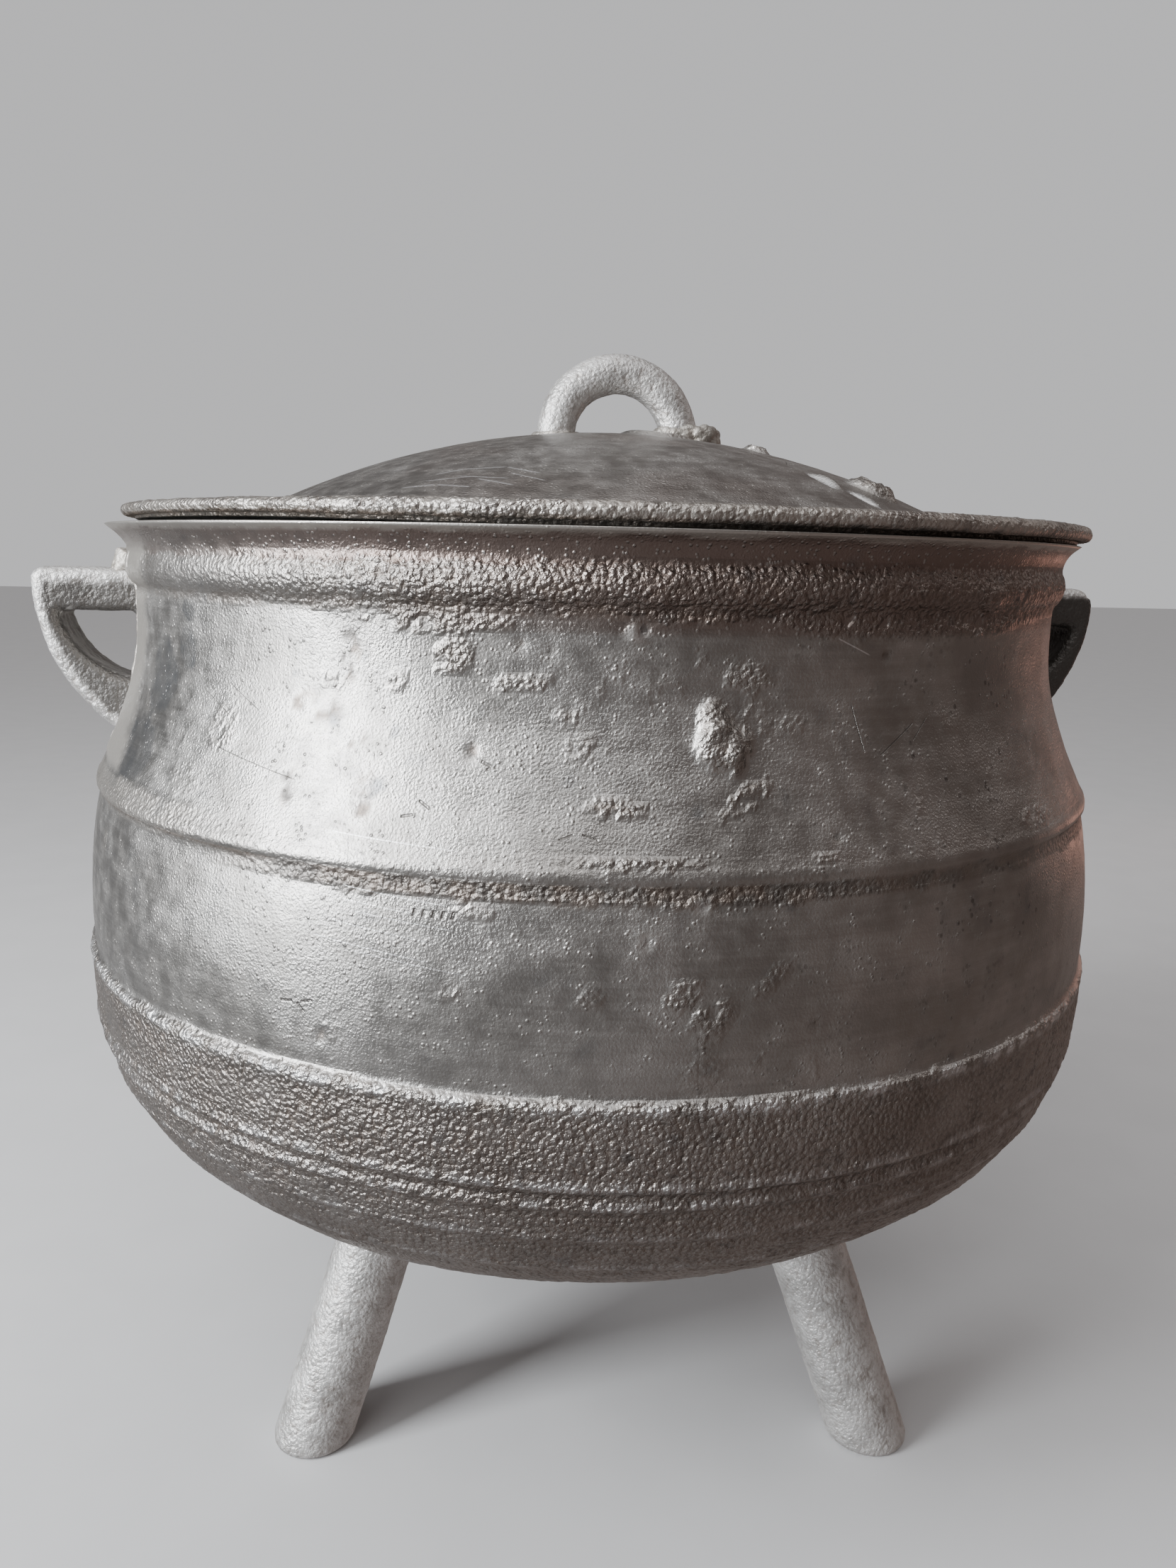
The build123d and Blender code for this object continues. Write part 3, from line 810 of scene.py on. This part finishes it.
places = vertex_positions(lid_mesh)
normals = vertex_normals(lid_mesh)
from_axis = np.hypot(places[:, 0] - lid_centre[0], places[:, 1] - lid_centre[1]) / MM
is_top = normals[:, 2] > 0.15
wander = cloud(places, 20 * MM, 51)
fray = cloud(places, 5 * MM, 57)
edge_zone = ramp(from_axis + fray, 142.5, 145.5)
flange_zone = ramp(from_axis + 1.5 * wander, 110, 114) * is_top
weld_low, weld_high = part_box("lid_handle_weld_right")
weld_x = (weld_low.x + weld_high.x) / 2
near_weld = np.hypot(places[:, 0] - weld_x, places[:, 1] - lid_centre[1]) / MM
lid_grain = highest(
    edge_zone,
    0.5 * flange_zone * ramp(wander + 0.4 * fray, -0.2, 0.3),
    0.8 * is_top * (1 - ramp(near_weld + 2 * fray, 12, 17)),
)
lid_grain = np.clip(lid_grain, 0, 1)
grain_tops = beads(places, 2.4 * MM, 61)
lid_relief = lid_grain * (0.34 * grain_tops + 0.14 * cloud(places, 4 * MM, 63, 2) - 0.12)
lid_relief += is_top * (0.06 * cloud(places, 3 * MM, 67) + 0.30 * cloud(places, 55 * MM, 71))


def lid_smear(start, end, half_width):
    """1 inside an oval stroke between two points in mm, and each vertex's distance off its line."""
    start, end = np.array(start), np.array(end)
    length = np.linalg.norm(end - start)
    heading = (end - start) / length
    flat = places[:, :2] / MM - start
    along = flat @ heading
    off = flat @ np.array([-heading[1], heading[0]])
    oval = np.hypot((along - length / 2) / (length / 2), off / half_width)
    return (1 - ramp(oval, 0.6, 1.1)) * is_top, off


# shiny gouges where a tool slipped, with the metal pushed up beside them
# (start, end, half width, depth), in mm
GOUGES = (
    ((48.0, -65.5), (53.2, -78.5), 2.1, 0.8),
    ((55.5, -76.0), (62.8, -85.5), 1.3, 0.6),
)
lid_bright = np.zeros(len(places))
for start, end, half_width, depth in GOUGES:
    groove, off = lid_smear(start, end, half_width)
    shoulder, _ = lid_smear(start, end, half_width * 2.2)
    lid_relief += 1.1 * shoulder * ramp(off, -1, 3) - depth * groove
    lid_bright = np.maximum(lid_bright, groove * (0.75 + 0.35 * grain_tops))
lump, _ = lid_smear((62, -60), (75, -66), 5.5)
small_lump, _ = lid_smear((40, -30), (47, -34), 3.0)
lid_relief += (2.6 * lump + 1.6 * small_lump) * (0.7 + 0.5 * grain_tops)
weld_slope, _ = lid_smear((4, -7), (32, -7), 7.0)
lid_relief += 1.9 * weld_slope
lid_grain = np.maximum(lid_grain, np.maximum(lump, small_lump) * (1 - lid_bright))
lid_stain = 0.6 * ramp(cloud(places, 30 * MM, 73), 0.05, 0.5) * is_top
lid_hollow = lid_grain * ramp(grain_tops, 0.3, 0.05) * 0.4
# painted shade: the lower part of the lid's edge is darkened, so that the gap over the rim reads dark
lid_hollow = np.maximum(lid_hollow, 0.95 * edge_zone * ramp(-normals[:, 2], 0.35, 0.8))
lid_pale = 0.6 * edge_zone * ramp(fray + 0.5 * wander, -0.5, 0.2) * (1 - lid_hollow)
lid_brown = 0.35 * ramp(cloud(places, 24 * MM, 77), -0.1, 0.5) * is_top
FLANGE_LOW = 295.3 * MM  # nothing below this is pushed, so that the lid keeps clear of the rim
push(lid_mesh, lid_relief * MM * np.where(places[:, 2] < FLANGE_LOW, 0, 1))

# the flange is a little thinner along its left edge
FLANGE_TOP = 299.2 * MM
EDGE_SHARE = 0.78
moved = vertex_positions(lid_mesh)
thinner = ramp(from_axis, 130, 140) * ramp(-places[:, 0] / MM, 30, 115) * (1 - EDGE_SHARE)
under_top = np.maximum(FLANGE_TOP - moved[:, 2], 0)
moved[:, 2] += thinner * under_top
set_positions(lid_mesh, moved)

store(
    lid_mesh,
    grain=lid_grain,
    hollow=lid_hollow,
    stain=lid_stain,
    brown=lid_brown,
    pale=lid_pale,
    grey=np.zeros(len(places)),
    bright=lid_bright,
)

# as on the bowl, but the second number is the distance from the lid's middle
LID_SCRATCHES = (
    (12.0, 96.0, 14.0, 24, 0.25),
    (38.0, 70.0, 12.0, -30, 0.25),
)
# scratches on the lid painted bright as highlights
LID_GLINTS = (
    (-36.3, 89.5, 8.0, -32, 0.55),
    (-30.5, 86.8, 13.0, -7, 0.55),
    (-23.2, 88.2, 12.0, 22, 0.50),
    (-38.0, 99.5, 9.0, -12, 0.50),
    (-32.0, 99.2, 10.0, 8, 0.50),
    (-26.0, 96.5, 12.0, 20, 0.45),
    (-29.0, 93.5, 16.0, 6, 0.40),
    (-34.0, 94.5, 14.0, -14, 0.40),
    (-21.5, 93.0, 12.0, 26, 0.35),
)
lid_metal = turned_metal(
    "cast_aluminium_lid", lid_centre, LID_SCRATCHES, LID_GLINTS, 90 * MM, 1.6 * MM, True
)
make_piece("lid_cast", lid_mesh, "lid", ["lid"], lid_metal)


# ---------------------------------------------------------------- ears, legs, handle and joints
def remeshed(node, voxel, rounds):
    """A copy of a CAD node in even small faces, with its edges softened."""
    helper = add_object("helper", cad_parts[node].data.copy())
    remesh = helper.modifiers.new("even", "REMESH")
    remesh.mode = "VOXEL"
    remesh.voxel_size = voxel
    soften = helper.modifiers.new("soften", "SMOOTH")
    soften.factor = 0.5
    soften.iterations = rounds
    evaluated = helper.evaluated_get(bpy.context.evaluated_depsgraph_get())
    mesh = bpy.data.meshes.new_from_object(evaluated)
    bpy.data.objects.remove(helper)
    return mesh


def sink(mesh, tree, reach, depth):
    """Moves the vertices within reach of a wall down into it by up to depth, so that no gap shows."""
    positions = vertex_positions(mesh)
    for index, position in enumerate(positions):
        nearest, normal, _, distance = tree.find_nearest(Vector(position), reach)
        if nearest is not None:
            positions[index] -= np.array(normal) * depth * (1 - distance / reach)
    set_positions(mesh, positions)


ASHEN = (0.54, 0.53, 0.52, 1)       # the cast rods' darker blotches
SALLOW = (0.42, 0.39, 0.35, 1)      # the joining metal's darker blotches
frosty = rough_metal("frosty_cast", FROST, ASHEN, 1.4 * MM, 0.36 * MM, 0.75, 0.44, 0.56)
joining = rough_metal("joining_metal", SMEAR, SALLOW, 1.7 * MM, 0.36 * MM, 0.75, 0.42, 0.60)


def no_grime(node, positions, normals):
    return np.zeros(len(positions))


def ear_painted_shade(node, positions, normals):
    """Painted shade, grey-brown, on an ear's front and underside, which face away from the light, but
    not along its top or its outer edge.
    """
    tree = node_tree_of(node)
    side = np.sign(positions[:, 0].mean())
    far = np.abs(positions[:, 0]) / MM
    height = positions[:, 2] / MM
    ragged = cloud(positions, 4 * MM, 83)
    outward = Vector((0.88 * side, 0, -0.47))
    to_edge = np.full(len(positions), 9.0)
    for index, position in enumerate(positions):
        if normals[index, 1] < -0.2:
            hit = tree.ray_cast(Vector(position) + Vector((0, 1.2 * MM, 0)), outward, 9 * MM)
            if hit[0] is not None:
                to_edge[index] = hit[3] / MM
    on_arm = np.maximum(ramp(far, 162, 166), 1 - ramp(height, 258, 264))
    edge_strip = (1 - ramp(to_edge + 1.5 * ragged, 2.6, 3.8)) * on_arm
    top_strip = ramp(height + 1.6 * ragged, 275.4, 277.4)
    unshaded = np.maximum(edge_strip, top_strip)
    on_front = 0.88 * (1 - unshaded) * ramp(-normals[:, 1], -0.3, 0.3)
    underneath = 0.8 * (1 - edge_strip) * ramp(-normals[:, 2], 0.2, 0.7)
    return np.maximum(on_front, underneath)


def right_ear_painted_shadow(node, positions, normals):
    """Painted shadow: the right ear lies in the pot's shadow and is dark nearly all over; its top is
    left unshaded.
    """
    height = positions[:, 2] / MM
    ragged = cloud(positions, 4 * MM, 83)
    unshaded = ramp(height + 1.2 * ragged, 277.0, 279.5)
    return 1 - unshaded * ramp(normals[:, 2] + 0.6, 0.0, 0.4)


def heap_corner(mesh):
    """Heaps joining metal between an ear's top and the rim."""
    positions = vertex_positions(mesh)
    side = np.sign(positions[:, 0].mean())
    height = positions[:, 2] / MM
    middle = 1 - ramp(np.abs(positions[:, 1]) / MM, 5, 13)
    off_wall = ramp(side * vertex_normals(mesh)[:, 0], -0.6, -0.1)
    share = ramp(height, 274, 279) * middle * off_wall
    positions[:, 0] += side * (8.0 - 3.0 * ramp(height, 281, 286)) * share * MM
    positions[:, 2] += (5.8 * ramp(height, 281.5, 285.0) - 3.4) * share * MM
    set_positions(mesh, positions)


def weld_grime(node, positions, normals):
    return 0.35 + 0.3 * cloud(positions, 7 * MM, 89)


def round_corner(mesh, radius):
    """Rounds the right ear's upper outer corner, seen from the front, to a radius in mm."""
    kept = 1 - 3.0 / radius
    positions = vertex_positions(mesh)
    far = (positions[:, 0] - positions[:, 0].max()) / MM + radius
    up = (positions[:, 2] - positions[:, 2].max()) / MM + radius
    reach = np.hypot(far, up)
    corner = (far > 0) & (up > 0)
    longest = np.maximum(far, up) / np.maximum(reach, 1e-6)
    shrink = np.where(corner, 1 / (1 + (1 / np.maximum(longest, 0.5) - 1) * kept), 1)
    positions[:, 0] += far * (shrink - 1) * MM
    positions[:, 2] += up * (shrink - 1) * MM
    set_positions(mesh, positions)


def flatten(mesh, tree, share):
    """Lets a piece hug the wall under it: every height above the wall is cut to a share of itself."""
    positions = vertex_positions(mesh)
    for index, position in enumerate(positions):
        nearest = np.array(tree.find_nearest(Vector(position))[0])
        positions[index] = nearest + (position - nearest) * share
    set_positions(mesh, positions)


def rough_piece(name, node, body, material, seed, voxel, grain_size, relief, wave, tree,
                rounds=3, sink_reach=1.3, shade_and_grime=no_grime, corner=0, hug=1.0, heaped=False):
    """A rough piece for one small CAD node: grains relief mm tall, over waves wave mm tall."""
    mesh = remeshed(node, voxel, rounds)
    if heaped:
        heap_corner(mesh)
    if corner:
        round_corner(mesh, corner)
    if hug < 1:
        flatten(mesh, tree, hug)
    positions = vertex_positions(mesh)
    tops = beads(positions, grain_size, seed)
    heights = relief * (tops - 0.5) + wave * cloud(positions, 9 * MM, seed + 5)
    keep_floor = ramp(positions[:, 2], 0.3 * MM, 3 * MM)
    push(mesh, heights * MM * keep_floor)
    sink(mesh, tree, sink_reach * MM, 1.6 * MM)
    positions = vertex_positions(mesh)
    positions[:, 2] = np.maximum(positions[:, 2], 0)
    set_positions(mesh, positions)
    # painted shade and shadow on the ears, a grey-brown film on the welds, nothing on the other pieces
    stain = np.clip(shade_and_grime(node, positions, vertex_normals(mesh)), 0, 1)
    store(mesh, hollow=ramp(tops, 0.35, 0.05) * 0.8, stain=stain)
    make_piece(name, mesh, body, [node], material)


for number, side in enumerate(("left", "right")):
    rough_piece(f"ear_{side}_cast", f"ear_{side}", "pot", frosty,
                100 + 10 * number, 0.75 * MM, 2.0 * MM, 0.22, 0.35, pot_tree,
                shade_and_grime=ear_painted_shade if side == "left" else right_ear_painted_shadow,
                corner=0 if side == "left" else 8)
    rough_piece(f"ear_{side}_smear", f"ear_{side}_seam", "pot", joining,
                140 + 10 * number, 0.75 * MM, 3.2 * MM, 0.35, 0.5, pot_tree,
                rounds=6, sink_reach=0.6, heaped=True)
for number, leg in enumerate(("leg_front_left", "leg_front_right", "leg_rear")):
    rough_piece(f"{leg}_cast", leg, "pot", frosty,
                200 + 10 * number, 1.0 * MM, 2.2 * MM, 0.16, 0.30, pot_tree)
    rough_piece(f"{leg}_smear", f"{leg}_seam", "pot", joining,
                240 + 10 * number, 0.75 * MM, 3.4 * MM, 0.8, 0.6, pot_tree)
rough_piece("lid_handle_cast", "lid_handle", "lid", frosty,
            300, 0.6 * MM, 2.0 * MM, 0.16, 0.30, lid_tree)
rough_piece("lid_handle_weld_left_lumps", "lid_handle_weld_left", "lid", joining,
            320, 0.5 * MM, 3.6 * MM, 0.3, 0.4, lid_tree,
            rounds=20, sink_reach=0.6, shade_and_grime=weld_grime, hug=0.5)
rough_piece("lid_handle_weld_right_lumps", "lid_handle_weld_right", "lid", joining,
            330, 0.5 * MM, 3.0 * MM, 1.0, 1.0, lid_tree,
            rounds=12, sink_reach=0.6, shade_and_grime=weld_grime)


# ---------------------------------------------------------------- camera, floor and light
camera_data = bpy.data.cameras.new("camera")
camera = add_object("camera", camera_data)
bpy.context.scene.camera = camera
camera_data.lens = 26.04
camera_data.sensor_width = 36
camera_data.clip_start = 0.01
camera_place = Vector((-59.4, -379.4, 287.6)) * MM
heading = radians(-8.777)           # a little to the right of straight at the front
tilt_down = radians(11.28)
roll = radians(1.42)
turned = Matrix.Rotation(heading, 4, "Z") @ Matrix.Rotation(pi / 2 - tilt_down, 4, "X")
camera.matrix_world = Matrix.Translation(camera_place) @ turned @ Matrix.Rotation(roll, 4, "Z")


def paper(name, colour):
    """A plain matt paint with a faint mottle."""
    graph = Graph(name)
    mottle = graph.noise(40 * MM, 4.0)
    shade = graph.mix(graph.fade(mottle, 0.3, 0.7), colour, tuple(0.97 * c for c in colour[:3]) + (1,))
    return graph.finish(shade, 0.7, mottle, 0.1 * MM, 0.0)


PALE_GREY = (0.62, 0.62, 0.63, 1)
FLOOR_HALF = 8
floor_mesh = bpy.data.meshes.new("floor")
floor_corners = [(x * FLOOR_HALF, y * FLOOR_HALF, 0) for x, y in ((-1, -1), (1, -1), (1, 1), (-1, 1))]
floor_mesh.from_pydata(floor_corners, [], [(0, 1, 2, 3)])
floor_mesh.materials.append(paper("floor_paint", PALE_GREY))
floor = add_object("floor", floor_mesh)
floor.visible_glossy = False        # the metal mirrors the darker room instead


def soft_light(name, place, aim, width, height, power, colour):
    """A rectangular area light at place, turned to shine at aim."""
    data = bpy.data.lights.new(name, "AREA")
    data.shape = "RECTANGLE"
    data.size = width
    data.size_y = height
    data.energy = power
    data.color = colour
    light = add_object(name, data)
    light.location = place
    light.rotation_euler = (Vector(aim) - Vector(place)).to_track_quat("-Z", "Y").to_euler()


POT_MIDDLE = (0, 0, 0.2)
soft_light("window_left", (-1.12, -0.46, 0.68), (0, 0, 0.5), 0.44, 1.08, 39, (0.95, 0.98, 1.0))
soft_light("high_front", (-0.8, -1.1, 1.7), POT_MIDDLE, 1.0, 0.8, 7.5, (1.0, 1.0, 1.0))
soft_light("right_window", (1.25, 0.15, 0.95), POT_MIDDLE, 0.40, 0.55, 0.85, (1.0, 0.95, 0.93))
soft_light("warm_right", (1.05, 0.60, 0.10), POT_MIDDLE, 0.30, 0.14, 0.22, (1.0, 0.50, 0.38))
daylight_data = bpy.data.lights.new("daylight", "SUN")
daylight_data.energy = 1.3
daylight_data.angle = radians(80)
daylight = add_object("daylight", daylight_data)
daylight.rotation_euler = (radians(8), radians(-10), 0)

world = bpy.data.worlds.new("studio")
bpy.context.scene.world = world
world.use_nodes = True
tree = world.node_tree
backdrop = tree.nodes["Background"]
backdrop.inputs["Color"].default_value = PALE_GREY
surroundings = tree.nodes.new("ShaderNodeBackground")
direction = tree.nodes.new("ShaderNodeTexCoord").outputs["Generated"]
parts = tree.nodes.new("ShaderNodeSeparateXYZ")
tree.links.new(direction, parts.inputs[0])


def change(source, start, end, low=0.0, high=1.0):
    """A steady change from low to high, as source goes from start to end."""
    made = tree.nodes.new("ShaderNodeMapRange")
    tree.links.new(source, made.inputs["Value"])
    made.inputs["From Min"].default_value = start
    made.inputs["From Max"].default_value = end
    made.inputs["To Min"].default_value = low
    made.inputs["To Max"].default_value = high
    return made.outputs["Result"]


# the room is cool on the left and warm on the right, and light comes up from below on the left
room = tree.nodes.new("ShaderNodeMix")
room.data_type = "RGBA"
tree.links.new(change(parts.outputs["X"], -0.7, 0.9), room.inputs["Factor"])
room.inputs["A"].default_value = (0.160, 0.162, 0.166, 1)
room.inputs["B"].default_value = (0.165, 0.132, 0.120, 1)
tree.links.new(room.outputs["Result"], surroundings.inputs["Color"])
lift = tree.nodes.new("ShaderNodeMath")
lift.operation = "MULTIPLY_ADD"
tree.links.new(change(parts.outputs["Z"], 0.10, -0.35), lift.inputs[0])
tree.links.new(change(parts.outputs["X"], 0.9, -0.5, 0.1, 1.15), lift.inputs[1])
lift.inputs[2].default_value = 1.0
tree.links.new(lift.outputs[0], surroundings.inputs["Strength"])

# the camera itself sees a plain pale backdrop
light_path = tree.nodes.new("ShaderNodeLightPath")
chooser = tree.nodes.new("ShaderNodeMixShader")
tree.links.new(light_path.outputs["Is Camera Ray"], chooser.inputs["Fac"])
tree.links.new(surroundings.outputs["Background"], chooser.inputs[1])
tree.links.new(backdrop.outputs["Background"], chooser.inputs[2])
tree.links.new(chooser.outputs["Shader"], tree.nodes["World Output"].inputs["Surface"])
